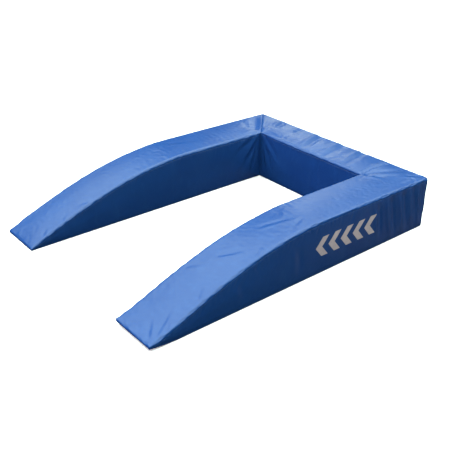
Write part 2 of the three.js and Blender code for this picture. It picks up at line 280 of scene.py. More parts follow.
class CoverGrid:
    """A closed grid over the sharp-edged mat, with the index of the panel that each face belongs to.

    The columns run across the left arm, the bay and the right arm, the rows from the toes to the
    back. The arms' columns and the cross block's rows share their spacing, so the mitre runs
    through corners of the grid.
    """

    def __init__(self):
        tab = (HALF - TAB_X) / ARM
        across = snapped(snapped(spread(ARM, EDGE_CELL, CELL), tab), 1 - tab)
        bay = spread(2 * BAY_HALF, EDGE_CELL, CELL)
        along = spread(BAY_END - FRONT, EDGE_CELL, CELL)
        self.arm = len(across) - 1
        self.right = self.arm + len(bay) - 1
        self.end = len(along) - 1
        bay_x = -BAY_HALF + 2 * BAY_HALF * bay[1:-1]
        self.x = np.concatenate([-HALF + ARM * across, bay_x, BAY_HALF + ARM * across])
        arm_y = FRONT + (BAY_END - FRONT) * along
        self.y = np.concatenate([arm_y, BAY_END + CROSS * across[1:]])
        self.columns, self.rows = len(self.x) - 1, len(self.y) - 1
        self.points, self.faces, self.panels = [], [], []
        self.top = self._level(slope_height(self.y))
        self.bottom = self._level(np.zeros(len(self.y)))
        self._add_levels()
        self._add_walls()

    def _add(self, panel, *corners):
        self.faces.append(corners)
        self.panels.append(PANELS.index(panel))

    def _level(self, heights):
        """Adds the points of the top or the underside, and returns their numbers."""
        numbers = {}
        for i, x in enumerate(self.x):
            for j, y in enumerate(self.y):
                if j >= self.end or i <= self.arm or i >= self.right:
                    numbers[i, j] = len(self.points)
                    self.points.append((x, y, heights[j]))
        return numbers

    def _add_levels(self):
        for i in range(self.columns):
            for j in range(self.rows):
                if self.arm <= i < self.right and j < self.end:
                    continue
                corners = [(i, j), (i + 1, j), (i + 1, j + 1), (i, j + 1)]
                a, b, c, d = [self.top[corner] for corner in corners]
                if i >= self.right:
                    self._add("right_arm_top_panel", a, b, c, d)
                    base = "right_arm_base_panel"
                elif i >= self.arm:
                    self._add("cross_top_panel", a, b, c, d)
                    base = "cross_base_panel"
                else:
                    base = "left_arm_base_panel"
                    past_mitre = i + j - self.end - (self.arm - 1)
                    if j < self.end or past_mitre < 0:
                        self._add("left_arm_top_panel", a, b, c, d)
                    elif past_mitre > 0:
                        self._add("cross_top_panel", a, b, c, d)
                    else:
                        self._add("left_arm_top_panel", a, b, d)
                        self._add("cross_top_panel", b, c, d)
                self._add(base, *[self.bottom[corner] for corner in reversed(corners)])

    def _add_walls(self):
        """Adds the walls, going round the outline anticlockwise as seen from above."""
        arm, right, end, columns, rows = self.arm, self.right, self.end, self.columns, self.rows
        left_top, right_top = "left_arm_top_panel", "right_arm_top_panel"
        runs = [
            ([(i, 0) for i in range(arm + 1)], left_top, left_top),
            ([(arm, j) for j in range(end + 1)], left_top, "left_inner_side_panel"),
            ([(i, end) for i in range(arm, right + 1)], "cross_top_panel", "cross_inner_panel"),
            ([(right, j) for j in range(end, -1, -1)], right_top, "right_inner_side_panel"),
            ([(i, 0) for i in range(right, columns + 1)], right_top, right_top),
            ([(columns, j) for j in range(rows + 1)], right_top, "right_outer_side_panel"),
            ([(i, rows) for i in range(columns, -1, -1)], None, None),
            ([(0, j) for j in range(rows, -1, -1)], left_top, "left_outer_side_panel"),
        ]
        fractions, self.slot_lines = wall_fractions()
        posts = {}
        for run, _, _ in runs:
            for i, j in run:
                if (i, j) in posts:
                    continue
                heights = wall_heights(float(slope_height(self.y[j])), fractions)
                first = len(self.points)
                self.points += [(self.x[i], self.y[j], z) for z in heights[1:-1]]
                inner = list(range(first, len(self.points)))
                posts[i, j] = [self.top[i, j], *inner, self.bottom[i, j]]
        for run, upper, lower in runs:
            for here, there in zip(run, run[1:]):
                for k in range(len(fractions) - 1):
                    panel = upper if k < SEAM_LINE else lower
                    if panel is None:
                        panel = self._back_panel(here[0], there[0], k)
                    a, b = posts[here], posts[there]
                    self._add(panel, a[k + 1], b[k + 1], b[k], a[k])

    def _back_panel(self, i0, i1, k):
        if k < SEAM_LINE:
            return "right_arm_top_panel" if min(i0, i1) >= self.right else "cross_top_panel"
        if k < self.slot_lines[0]:
            return "back_upper_panel"
        if k >= self.slot_lines[1]:
            return "back_lower_panel"
        x = (self.x[i0] + self.x[i1]) / 2
        if abs(x) < TAB_X:
            return "zip_slot"
        return "right_zip_end_tab" if x > 0 else "left_zip_end_tab"


def seam_edges(faces, panels):
    """Pairs of points between faces of different panels."""
    owner, seams = {}, set()
    for corners, panel in zip(faces, panels):
        for a, b in zip(corners, corners[1:] + corners[:1]):
            pair = (min(a, b), max(a, b))
            if owner.setdefault(pair, panel) != panel:
                seams.add(pair)
    return sorted(seams)


def edge_distance(points):
    """Distance of each point from the nearest sharp edge of the mat, going over its surface."""
    x, y, z = points.T
    height = slope_height(y)
    inside_bay = y < BAY_END
    to_side = np.minimum(HALF - np.abs(x), np.where(inside_bay, np.abs(x) - BAY_HALF, 9.0))
    to_corner = np.hypot(np.abs(x) - BAY_HALF, y - BAY_END)
    to_end = np.where(np.abs(x) < BAY_HALF, y - BAY_END, np.where(inside_bay, 9.0, to_corner))
    plan = np.minimum.reduce([to_side, BACK - y, y - FRONT, np.abs(to_end)])
    upright = np.minimum(z, height - z)
    on_level = (upright < 1e-6) & (plan > 1e-6)
    outer_corner = np.minimum(BACK - y, y - FRONT) + (HALF - np.abs(x))
    corner = np.minimum(outer_corner, to_corner)
    return np.where(on_level, plan, np.minimum(upright, np.maximum(corner, 0.0)))


def zip_zone(points):
    """1 on the back face round the zip, where the cloth lies flat, and 0 away from it."""
    x, y, z = points.T
    return smooth(y, BACK - 12 * MM, BACK - 6 * MM) * (1 - smooth(np.abs(z - ZIP_Z), 14 * MM, 45 * MM))


SIM_FRAMES = 18
SIM_CAP = 4 * MM
HELD_TOP = 0.5  # how far a point in the middle of a top panel is held to the foam's shape
HELD_WALL = 0.85
SEAM_SHRINK = 0.012
# The coated cloth is stiff in its plane and soft to bend, and the damping brings it to rest.
CLOTH_SETTINGS = {
    "quality": 4,
    "mass": 0.25,
    "tension_stiffness": 25,
    "compression_stiffness": 25,
    "shear_stiffness": 10,
    "bending_stiffness": 0.6,
    "tension_damping": 12,
    "compression_damping": 12,
    "shear_damping": 12,
    "use_pressure": True,
    "uniform_pressure_force": 3.0,
    "vertex_group_mass": "held",
    "pin_stiffness": 1.0,
    "vertex_group_shrink": "drawn",
    "shrink_min": -SEAM_SHRINK,
    "shrink_max": SEAM_SHRINK,
}


def simulate(obj, seam_points, held):
    """Cloth simulation of the sewn cover: the foam presses it out, the thread draws the seams in."""
    pin = obj.vertex_groups.new(name="held")
    drawn = obj.vertex_groups.new(name="drawn")
    for index, share in enumerate(held):
        pin.add([index], float(share), "REPLACE")
    drawn.add(seam_points, 1.0, "REPLACE")
    cloth = obj.modifiers.new("cloth", "CLOTH")
    for name, value in CLOTH_SETTINGS.items():
        setattr(cloth.settings, name, value)
    cloth.settings.effector_weights.gravity = 0
    cloth.collision_settings.use_collision = False
    cloth.point_cache.frame_start, cloth.point_cache.frame_end = 1, SIM_FRAMES
    for step in range(1, SIM_FRAMES + 1):
        bpy.context.scene.frame_set(step)
    apply_modifiers(obj)
    bpy.context.scene.frame_set(1)


# ---------------- folds in the cloth
FOLD_WOBBLE = 5 * MM
WOBBLE_SIZE = 60 * MM
SWELL = 0.9 * MM  # broad unevenness of the stretched cloth
EDGE_WAVE = 1.8 * MM  # how unevenly the turned edges run, with twice that on the outer right
EDGE_SHARE = 0.35  # how much of a fold is left on a rounded edge
DEEPEST = 5.5 * MM  # no fold sinks further than this towards the foam
TOE_LIFT = 12 * MM  # the right arm's tip curls up off the floor
TOE_LIFT_LENGTH = 130 * MM


def fold_heights(points, facing, folds):
    """Heights along the normals of soft folds, each a valley with a bank on one side.

    A fold is (start, end, width, depth), and is deepest near its start.
    """
    wobble = np.array([noise.noise_vector(Vector(p) / WOBBLE_SIZE) for p in points])
    warped = points + FOLD_WOBBLE * wobble
    heights = np.zeros(len(points))
    for start, end, width, depth in folds:
        start, along = np.array(start), np.array(end) - np.array(start)
        length = np.linalg.norm(along)
        reach = length / 2 + 4 * width
        near = np.flatnonzero(np.abs(points - start - along / 2).max(axis=1) < reach)
        t = (warped[near] - start) @ along / length**2
        off = warped[near] - start - np.outer(t, along)
        across = np.einsum("ij,ij->i", off, np.cross(along / length, facing[near])) / width
        above = np.einsum("ij,ij->i", off, facing[near]) / (2.5 * width)
        taper = smooth(t, -0.12, 0.15) * (1 - smooth(t, 0.4, 1.1)) * np.exp(-(above**2))
        bank = 0.6 * np.exp(-((across - 1.6) ** 2))
        heights[near] += depth * taper * (bank - np.exp(-(across**2)))
    return heights


def main_folds():
    """The folds that give the mat its character, placed one by one in millimetres on its faces.

    On the tops they are x0, y0, x1, y1, on the sides y0, z0, y1, z1 and on the ends x0, z0, x1, z1,
    each with its width and depth.
    """

    def on_top(x0, y0, x1, y1, width, depth):
        z0, z1 = slope_height(np.array([y0, y1]) * MM)
        return (x0 * MM, y0 * MM, z0), (x1 * MM, y1 * MM, z1), width * MM, depth * MM

    def on_side(x, y0, z0, y1, z1, width, depth):
        return (x, y0 * MM, z0 * MM), (x, y1 * MM, z1 * MM), width * MM, depth * MM

    def on_end(y, x0, z0, x1, z1, width, depth):
        return (x0 * MM, y, z0 * MM), (x1 * MM, y, z1 * MM), width * MM, depth * MM

    cross_top = [
        (-342, 690, -298, 590, 13, 4.0),
        (-214, 698, -205, 600, 13, 3.4),
        (-92, 700, -45, 515, 16, 6.4),
        (52, 700, 84, 505, 17, 6.8),
        (165, 702, 206, 515, 16, 6.4),
        (306, 514, 302, 702, 8, 4.4),
        (300, 700, 305, 560, 8, 3.4),
        (-150, 520, -130, 590, 8, 1.6),
        (10, 516, 30, 580, 8, 1.4),
        (120, 518, 150, 600, 8, 1.6),
    ]
    corners = [
        (-350, 500, -490, 634, 22, 6.0),
        (-322, 512, -392, 640, 9, 1.4),
        (-390, 490, -475, 545, 16, 1.8),
        (322, 518, 392, 672, 16, 6.2),
        (332, 512, 405, 556, 12, 3.4),
        (440, 640, 495, 700, 10, 2.0),
    ]
    arm_tops = [
        (376, -135, 438, 40, 9, 2.0),
        (470, -40, 440, 30, 8, 1.6),
        (384, -326, 448, -246, 10, 2.2),
        (500, -250, 455, -190, 8, 1.8),
        (482, -494, 450, -450, 8, 2.2),
        (330, -420, 390, -380, 9, 1.2),
        (486, -668, 440, -560, 8, 2.6),
        (478, -690, 420, -640, 8, 2.4),
        (505, -640, 470, -600, 7, 2.0),
        (-352, -462, -315, -415, 8, 1.2),
        (-322, -650, -355, -615, 7, 1.3),
        (-318, -560, -350, -538, 7, 1.1),
        (-450, 60, -400, 200, 16, 1.0),
    ]
    right_outer = [
        (387, 190, 416, 25, 13, 3.2),
        (462, 200, 510, 5, 15, 4.6),
        (539, 205, 592, 5, 15, 4.4),
        (604, 208, 648, 5, 13, 3.6),
        (656, 208, 688, 5, 11, 2.8),
        (-60, 150, -40, 20, 14, 1.4),
        (-330, 110, -310, 20, 14, 1.2),
    ]
    left_inner = [
        (500, 218, 385, 60, 13, 3.8),
        (495, 205, 440, 20, 11, 3.4),
        (480, 222, 330, 140, 12, 2.2),
    ]
    bay_end = [
        (-298, 218, -215, 40, 13, 3.8),
        (-290, 220, -160, 110, 12, 2.6),
        (-303, 200, -265, 20, 11, 3.2),
        (60, 200, 80, 30, 14, 1.6),
        (190, 205, 205, 30, 14, 1.6),
        (295, 215, 240, 40, 10, 2.4),
    ]
    back = [
        (-430, 200, -400, 80, 12, 1.8),
        (-120, 205, -90, 90, 13, 1.8),
        (150, 205, 170, 85, 13, 1.8),
        (400, 200, 430, 90, 11, 1.8),
    ]
    return [
        *[on_top(*fold) for fold in cross_top + corners + arm_tops],
        *[on_side(HALF, *fold) for fold in right_outer],
        *[on_side(-BAY_HALF, *fold) for fold in left_inner],
        *[on_end(BAY_END, *fold) for fold in bay_end],
        *[on_end(BACK, *fold) for fold in back],
    ]


def seam_puckers():
    """Short folds where the thread gathers the cloth along the seams round the top."""
    rng = np.random.default_rng(11)
    folds = []

    def along(low, high):
        place = low + 12 * MM
        while place < high - 12 * MM:
            yield place
            place += rng.uniform(18, 62) * MM

    def pucker(edge, run, inward):
        """At a point of an edge: one fold on the wall below the seam and one on top."""
        skew = rng.uniform(-0.5, 0.5)
        low, top = rng.uniform([14, 10], [60, 46]) * MM
        below = np.array([0, 0, -TURN_DOWN + 3 * MM])
        foot = below + np.array([0, 0, -1.0]) * low + np.array(run) * skew * low
        inner = np.array(inward) * top + np.array(run) * skew * top
        width = rng.uniform(3.2, 6.0) * MM
        if edge[2] > 70 * MM:
            folds.append((edge + below, edge + foot, width, rng.uniform(0.4, 1.3) * MM))
        folds.append((edge, edge + inner, width, rng.uniform(0.3, 1.0) * MM))

    for x, inward in [(HALF, -1), (-HALF, 1), (BAY_HALF, 1), (-BAY_HALF, -1)]:
        end = BACK if abs(x) == HALF else BAY_END
        for y in along(FRONT, end):
            pucker(np.array([x, y, float(slope_height(y))]), (0, 1, 0), (inward, 0, 0))
    for y, half, inward in [(BACK, HALF, -1), (BAY_END, BAY_HALF, 1)]:
        for x in along(-half, half):
            pucker(np.array([x, y, HEIGHT]), (1, 0, 0), (0, inward, 0))
    return folds


def toe_lift(points):
    """How far the right arm's tip has curled up, at each point."""
    x, y, _ = points.T
    share = np.clip((FRONT + TOE_LIFT_LENGTH - y) / TOE_LIFT_LENGTH, 0, 1)
    return TOE_LIFT * share**2 * (x > 0)


def build_cover():
    """The whole cover as one closed mesh of fine cells, with each face's panel number."""
    grid = CoverGrid()
    sharp = np.array(grid.points)
    edge = edge_distance(sharp)
    flat = np.maximum(zip_zone(sharp), 1 - smooth(sharp[:, 2], 0.5 * MM, 20 * MM))
    cover = new_object("cover", rounded(sharp), grid.faces)
    rest = coordinates(cover)
    crown = (PUFF + CROWN * smooth(edge, 0, 85 * MM)) * (1 - flat)
    set_coordinates(cover, rest + crown[:, None] * normals(cover))
    seams = seam_edges(grid.faces, grid.panels)
    seam_points = sorted({point for pair in seams for point in pair})
    start = coordinates(cover)
    below = smooth(slope_height(sharp[:, 1]) - sharp[:, 2], 0, 20 * MM)
    held = HELD_TOP + (HELD_WALL - HELD_TOP) * below
    held = np.maximum(1 - (1 - held) * smooth(edge, 0, 16 * MM), flat)
    simulate(cover, seam_points, held)
    moved = coordinates(cover) - start
    size = np.linalg.norm(moved, axis=1)[:, None]
    limited = moved * SIM_CAP * np.tanh(size / SIM_CAP) / np.maximum(size, 1e-9)
    set_coordinates(cover, start + limited)
    inward = np.zeros(len(sharp))
    on_top = sharp[:, 2] > slope_height(sharp[:, 1]) - 1e-6
    inward[seam_points] = np.where(on_top, TOP_SEAM_DEPTH, SEAM_DEPTH)[seam_points]
    inward *= 1 - smooth(zip_zone(sharp), 0.2, 0.8)
    set_coordinates(cover, coordinates(cover) - inward[:, None] * normals(cover))
    mark_faces(cover, seams, grid.panels)
    subdivision = cover.modifiers.new("subdivision", "SUBSURF")
    subdivision.levels = subdivision.render_levels = 1
    apply_modifiers(cover)
    add_folds(cover)
    return cover


def mark_faces(cover, seams, panels):
    """Notes each face's panel, and keeps the seams crisp under subdivision."""
    mesh = cover.data
    mesh.attributes.new("panel", "INT", "FACE").data.foreach_set("value", panels)
    crease = mesh.attributes.new("crease_edge", "FLOAT", "EDGE")
    sewn = set(seams)
    values = [0.7 if tuple(sorted(e.vertices)) in sewn else 0.0 for e in mesh.edges]
    crease.data.foreach_set("value", values)


def add_folds(cover):
    points, facing = coordinates(cover), normals(cover)
    calm = np.maximum(zip_zone(points), 1 - smooth(points[:, 2], 1 * MM, 14 * MM))
    heights = fold_heights(points, facing, main_folds() + seam_puckers())
    heights += SWELL * noise_at(points, 140 * MM, 1)
    heights += 0.3 * SWELL * noise_at(points, 45 * MM, 2)
    level = smooth(np.abs(facing).max(axis=1), 0.72, 0.97)
    heights *= EDGE_SHARE + (1 - EDGE_SHARE) * level
    wave = EDGE_WAVE * (1 + smooth(points[:, 0], HALF - 60 * MM, HALF - 10 * MM))
    heights += wave * (1 - level) * noise_at(points, 26 * MM, 3)
    heights = np.where(heights < 0, -DEEPEST * np.tanh(-heights / DEEPEST), heights)
    heights *= 1 - calm
    moved = points + heights[:, None] * facing
    moved[:, 2] = np.maximum(moved[:, 2], 0) + toe_lift(moved)
    set_coordinates(cover, moved)


def split_cover(cover, materials):
    """One piece for each sewn panel, as cloth with its thickness on the inside."""
    mesh = cover.data
    owners = np.zeros(len(mesh.polygons), int)
    mesh.attributes["panel"].data.foreach_get("value", owners)
    polygons = [tuple(polygon.vertices) for polygon in mesh.polygons]
    points = coordinates(cover)
    for index, node in enumerate(PANELS[:-1]):
        faces = [polygons[k] for k in np.flatnonzero(owners == index)]
        used = sorted({corner for face in faces for corner in face})
        number = {corner: k for k, corner in enumerate(used)}
        local = [[number[corner] for corner in face] for face in faces]
        slot = "base" if "_base_" in node else "cover"
        kind = "cover_printed" if node == "right_outer_side_panel" else slot
        name = node.replace("_panel", "_cover").replace("_end_tab", "_tab_cover")
        panel = new_object(name, points[used], local, materials[kind])
        solidify = panel.modifiers.new("cloth", "SOLIDIFY")
        solidify.thickness = CLOTH
        solidify.offset = -1
        place(panel, "mat", slot, node)
    bpy.data.objects.remove(cover)


# ---------------- solids by outline
def bevelled_prism(outline, low, high, bevel, along="y", segments=2):
    """Points and faces of a prism with rounded edges. The outline is in the two other axes."""

    def lift(u, v, w):
        return (u, w, v) if along == "y" else (u, v, w)

    work = bmesh.new()
    face = work.faces.new([work.verts.new(lift(u, v, low)) for u, v in outline])
    made = bmesh.ops.extrude_face_region(work, geom=[face])["geom"]
    moved = [item for item in made if isinstance(item, bmesh.types.BMVert)]
    bmesh.ops.translate(work, verts=moved, vec=lift(0, 0, high - low))
    bmesh.ops.recalc_face_normals(work, faces=work.faces)
    rounding = {"offset": bevel, "segments": segments, "affect": "EDGES", "profile": 0.5}
    bmesh.ops.bevel(work, geom=work.edges[:], **rounding)
    points = np.array([vert.co for vert in work.verts])
    faces = [[vert.index for vert in face.verts] for face in work.faces]
    work.free()
    return points, faces


class Solids:
    """Closed solids gathered into one piece."""

    def __init__(self):
        self.points, self.faces, self.count = [], [], 0

    def add(self, solid, shift=(0, 0, 0)):
        points, faces = solid
        self.points.append(points + np.array(shift))
        self.faces += [[corner + self.count for corner in face] for face in faces]
        self.count += len(points)

    def piece(self, name, material, shift=(0, 0, 0)):
        return new_object(name, np.concatenate(self.points) + np.array(shift), self.faces, material)


def arc(centre, radius, first, last, steps=8):
    """Points of an arc, its angles in degrees."""
    angles = np.radians(np.linspace(first, last, steps + 1))
    return [(centre[0] + radius * math.cos(a), centre[1] + radius * math.sin(a)) for a in angles]


def mirrored(half, signs=(1, -1)):
    """The other half of an outline that is alike on both sides, going on from the first."""
    return [(u * signs[0], v * signs[1]) for u, v in half[::-1]]


def loft(rings):
    """A closed solid through rings of equal count, capped at both ends."""
    points = [point for ring in rings for point in ring]
    count = len(rings[0])
    last = len(points) - count
    faces = []
    for a in range(0, last, count):
        b = a + count
        for i in range(count):
            j = (i + 1) % count
            faces.append([a + i, a + j, b + j, b + i])
    faces.append(list(range(count))[::-1])
    faces.append([last + i for i in range(count)])
    return np.array(points), faces


def sweep_along_x(outline, stations):
    """A closed (y, z) outline swept along X."""
    return loft([[(x, y, z) for y, z in outline] for x in stations])


# ---------------- foam
FOAM_INSET = 8 * MM
GROOVE_HALF = 8.5 * MM  # half the height of the groove that the slider presses in the foam
GROOVE_DEPTH = 4.5 * MM
GROOVE_SLOPE = 4 * MM
FOAM_TOE = 25 * MM  # the arms' foam ends this far behind the tip
FOAM_STEP = 25 * MM
FOAM_BEVEL = 8 * MM


def build_foam(materials):
    """Two full-length arm blocks and the cross block, cut from foam, with the zip's groove."""
    inset = FOAM_INSET
    back = BACK - inset
    groove = [
        (back, ZIP_Z - GROOVE_HALF - GROOVE_SLOPE),
        (back - GROOVE_DEPTH, ZIP_Z - GROOVE_HALF),
        (back - GROOVE_DEPTH, ZIP_Z + GROOVE_HALF),
        (back, ZIP_Z + GROOVE_HALF + GROOVE_SLOPE),
        (back, HEIGHT - inset),
    ]
    slope_y = np.linspace(FRONT + SLOPE + KINK, FRONT + FOAM_TOE, 60)
    top = list(zip(slope_y, slope_height(slope_y) - inset))
    arm = [(FRONT + FOAM_TOE, inset - 2 * MM), (back, inset), *groove, *top]
    cross = [(BAY_END + inset, inset), (back, inset), *groove, (BAY_END + inset, HEIGHT - inset)]
    blocks = {
        "left_arm_foam_block": (arm, -HALF + inset, -BAY_HALF - inset, "left_arm_foam"),
        "right_arm_foam_block": (arm, BAY_HALF + inset, HALF - inset, "right_arm_foam"),
        "cross_foam_block": (cross, -BAY_HALF - inset + MM, BAY_HALF + inset - MM, "cross_foam"),
    }
    for name, (outline, low, high, node) in blocks.items():
        stations = np.linspace(low, high, max(2, round((high - low) / FOAM_STEP)) + 1)
        block = new_object(name, *sweep_along_x(outline[::-1], stations), materials["foam"], False)
        points = coordinates(block)
        points[:, 2] += toe_lift(points)
        set_coordinates(block, points)
        bevel = block.modifiers.new("cut edges", "BEVEL")
        bevel.width = FOAM_BEVEL
        bevel.segments = 4
        bevel.limit_method = "ANGLE"
        bevel.angle_limit = math.radians(25)
        place(block, "mat", "foam", node)


# ---------------- zip
CHAIN_Y = BACK - 1.5 * MM
CHAIN_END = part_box("zip_upper_teeth")[1].x
TOOTH_PITCH = 5 * MM
TOOTH_HALF = 1.25 * MM  # half the thickness of a tooth
TAPE_HALF = 0.45 * MM
TAPE_RIPPLE = 0.22 * MM
STITCH = 3.4 * MM
STITCH_PITCH = 4.6 * MM
STITCH_RADIUS = 0.32 * MM
STITCH_INSET = 3.5 * MM  # from the slot's edge to the row of stitches


def build_tapes(materials):
    """Two woven tapes with a corded edge at the teeth, sewn behind the slot's edges."""
    stations = np.arange(-TAB_X - 6 * MM, TAB_X + 6 * MM, 4 * MM)
    cord = arc((1.7 * MM, 0), 0.8 * MM, 40, 320, 8)
    flat = [(z * MM, -TAPE_HALF) for z in (2.6, 8, 15)]
    section = cord + flat + mirrored(flat)
    for side, row in ((1, "upper"), (-1, "lower")):
        outline = [(CHAIN_Y - 0.3 * MM + y, ZIP_Z + side * z) for z, y in section]
        outline = outline if side < 0 else outline[::-1]
        solid = sweep_along_x(outline, stations)
        tape = new_object(f"zip_{row}_tape_cloth", *solid, materials["zip_tape"])
        points = coordinates(tape)
        off = smooth(np.abs(points[:, 2] - ZIP_Z), 3 * MM, 7 * MM)
        points[:, 1] += TAPE_RIPPLE * noise_at(points * (1, 0, 0), 24 * MM, 5 + side) * off
        set_coordinates(tape, points)
        place(tape, "mat", "zip_tape", f"zip_{row}_tape")


def build_teeth(materials):
    """Moulded teeth that interlock: each row's heads sit between the other row's necks."""
    head = [(-1.05, -0.2), (-0.75, -0.85), (0.75, -0.85), (1.05, -0.2)]
    flank = [(0.7, 0.45), (0.8, 1.5), (1.3, 2.0), (1.3, 4.0)]
    section = head + flank + mirrored(flank, (-1, 1))
    count = int(2 * CHAIN_END / TOOTH_PITCH)
    for side, step, name in ((1, 0.0, "zip_upper_teeth"), (-1, 0.5, "zip_lower_teeth")):
        outline = [(u * MM, side * v * MM) for u, v in section]
        tooth = bevelled_prism(outline, CHAIN_Y - TOOTH_HALF, CHAIN_Y + TOOTH_HALF, 0.28 * MM)
        row = Solids()
        for k in range(count - 1):
            row.add(tooth, (-CHAIN_END + (k + 0.75 + step) * TOOTH_PITCH, 0, ZIP_Z))
        place(row.piece(f"{name}_row", materials["zip_teeth"]), "mat", "zip_teeth", name)


def build_slider(materials):
    """The slider: two plates with turned edges, and the bail that holds the pull."""
    low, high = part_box("zip_slider")
    half, wide = (high.x - low.x) / 2, (high.z - low.z) / 2
    plate, corner, tail = 1.5 * MM, 2 * MM, 4.5 * MM
    top = high.y - 4.2 * MM
    shoulder = -half + 4.5 * MM
    edge = [
        *arc((half - corner, wide - corner), corner, 0, 90, 5),
        (shoulder, wide),
        (-half + 2.5 * MM, wide - 0.9 * MM),
        *arc((-half + corner, tail - corner), corner, 90, 180, 4),
    ]
    outline = [(half - 1.2 * MM, 0), *edge, *mirrored(edge)]
    body = Solids()
    body.add(bevelled_prism(outline, top - plate, top, 0.4 * MM, segments=3))
    body.add(bevelled_prism(outline, low.y, low.y + plate, 0.4 * MM, segments=3))
    flange, depth, sunk = 1.9 * MM, 0.7 * MM, 0.2 * MM
    first, last = shoulder + 0.1 * MM, half - 1.4 * MM
    upper, lower = top - plate, low.y + plate
    for side in (-1, 1):
        outer, inner = side * (wide - 0.05 * MM), side * (wide - flange)
        strip = [(first, outer), (first, inner), (last, inner), (last, outer)]
        body.add(bevelled_prism(strip, upper - depth, upper + sunk, 0.18 * MM))
        body.add(bevelled_prism(strip, lower - sunk, lower + depth, 0.18 * MM))
    reach, leg, bar, width = 4.6 * MM, 2 * MM, 1.3 * MM, 1.5 * MM
    bend, hollow = 2 * MM, 0.7 * MM
    foot = top - 0.3 * MM
    outside = [(reach, foot), *arc((reach - bend, high.y - bend), bend, 0, 90, 6)]
    eye = (reach - leg - hollow, high.y - bar - hollow)
    inside = [*arc(eye, hollow, 90, 0, 4), (reach - leg, foot)]
    left = (-1, 1)
    bail = outside + mirrored(outside, left) + mirrored(inside, left) + inside
    body.add(bevelled_prism(bail, -width, width, 0.35 * MM, along="z", segments=3))
    centre = ((low.x + high.x) / 2, 0, ZIP_Z)
    slider = body.piece("zip_slider_body", materials["zip_metal"], centre)
    place(slider, "slider", "zip_metal", "zip_slider")


def build_pull(materials):
    """The pull: a fork round the bail, its pin, and a waisted tab with a raised rim."""
    low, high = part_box("zip_pull")
    radius = (high.y - low.y) / 2
    pin_x = high.x - radius
    length = pin_x - low.x
    neck, eye, end = 3.6 * MM, 2.1 * MM, 5 * MM
    eye_end = -5.4 * MM
    waist = eye_end - 6 * MM

    def tab(inset):
        """The tab's outline, moved in by inset, from the eye's end round the tip."""
        side = [(eye_end - inset, neck - inset), (waist, neck - 0.5 * MM - inset)]
        return [*side, *arc((-length + end, 0), end - inset, 90, 270, 12), *mirrored(side)]

    prong = [(0.4 * MM, neck), (0.4 * MM, eye), (eye_end, eye)]
    outline = prong + mirrored(prong) + tab(0)[::-1]
    thick = radius - 0.25 * MM
    pull = Solids()
    pull.add(bevelled_prism(outline, -thick, thick, 0.3 * MM, segments=3))
    rim, inner = tab(0.25 * MM), tab(1.35 * MM)
    for side in (-1, 1):
        pull.add(band(rim, inner, side * 0.4 * MM, side * (radius - 0.02 * MM)))
    pin = arc((0, 0), radius, 0, 345, 23)
    pull.add(bevelled_prism(pin, -neck, neck, 0.15 * MM, along="z"))
    pin_at = (pin_x, (low.y + high.y) / 2, ZIP_Z)
    place(pull.piece("zip_pull_tab", materials["zip_metal"], pin_at), "pull", "zip_metal", "zip_pull")


def band(outer, inner, low, high):
    """A flat closed band between two outlines of equal count, in x and z."""
    count = len(outer)
    points = [(x, y, z) for y in (low, high) for line in (outer, inner) for x, z in line]
    faces = []
    for i in range(count):
        j = (i + 1) % count
        a, b, c, d = 0, count, 2 * count, 3 * count
        faces += [[a + i, a + j, b + j, b + i], [c + i, d + i, d + j, c + j]]
        faces += [[a + i, c + i, c + j, a + j], [b + i, b + j, d + j, d + i]]
    if high > low:
        faces = [face[::-1] for face in faces]
    return np.array(points), faces


def build_stitching(cover_depth, materials):
    """The rows of stitches that hold the tapes behind the slot, and close the tabs."""
    circle = arc((0, 0), STITCH_RADIUS, 0, 300, 5)[::-1]
    half = STITCH / 2
    rise = [(-half, -0.5 * MM), (-0.6 * half, 0.05 * MM)]
    arch = [*rise, (0, 0.12 * MM), *mirrored(rise, (-1, 1))]
    points, faces = loft([[(x, y + v, u) for u, v in circle] for x, y in arch])
    upright = points[:, [2, 1, 0]], [face[::-1] for face in faces]
    rows = Solids()
    for z in (SLOT_LOW - STITCH_INSET, SLOT_HIGH + STITCH_INSET):
        for x in np.arange(-TAB_X - 4 * MM, TAB_X + 4 * MM, STITCH_PITCH):
            rows.add((points, faces), (x, cover_depth(x, z), z))
    for x in (-TAB_X - STITCH_INSET, TAB_X + STITCH_INSET):
        for z in np.arange(SLOT_LOW, SLOT_HIGH, STITCH_PITCH):
            rows.add(upright, (x, cover_depth(x, z), z + STITCH_PITCH / 2))
    place(rows.piece("zip_topstitching", materials["thread"]), "mat", "cover")


def finish_stops(materials):
    """The two metal stops stay CAD nodes, with rounded edges."""
    for node in ("zip_start_stop", "zip_end_stop"):
        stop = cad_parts[node]
        bevel = stop.modifiers.new("rounding", "BEVEL")
        bevel.width = 0.5 * MM
        bevel.segments = 3
        stop.data.materials.clear()
        stop.data.materials.append(materials["zip_metal"])


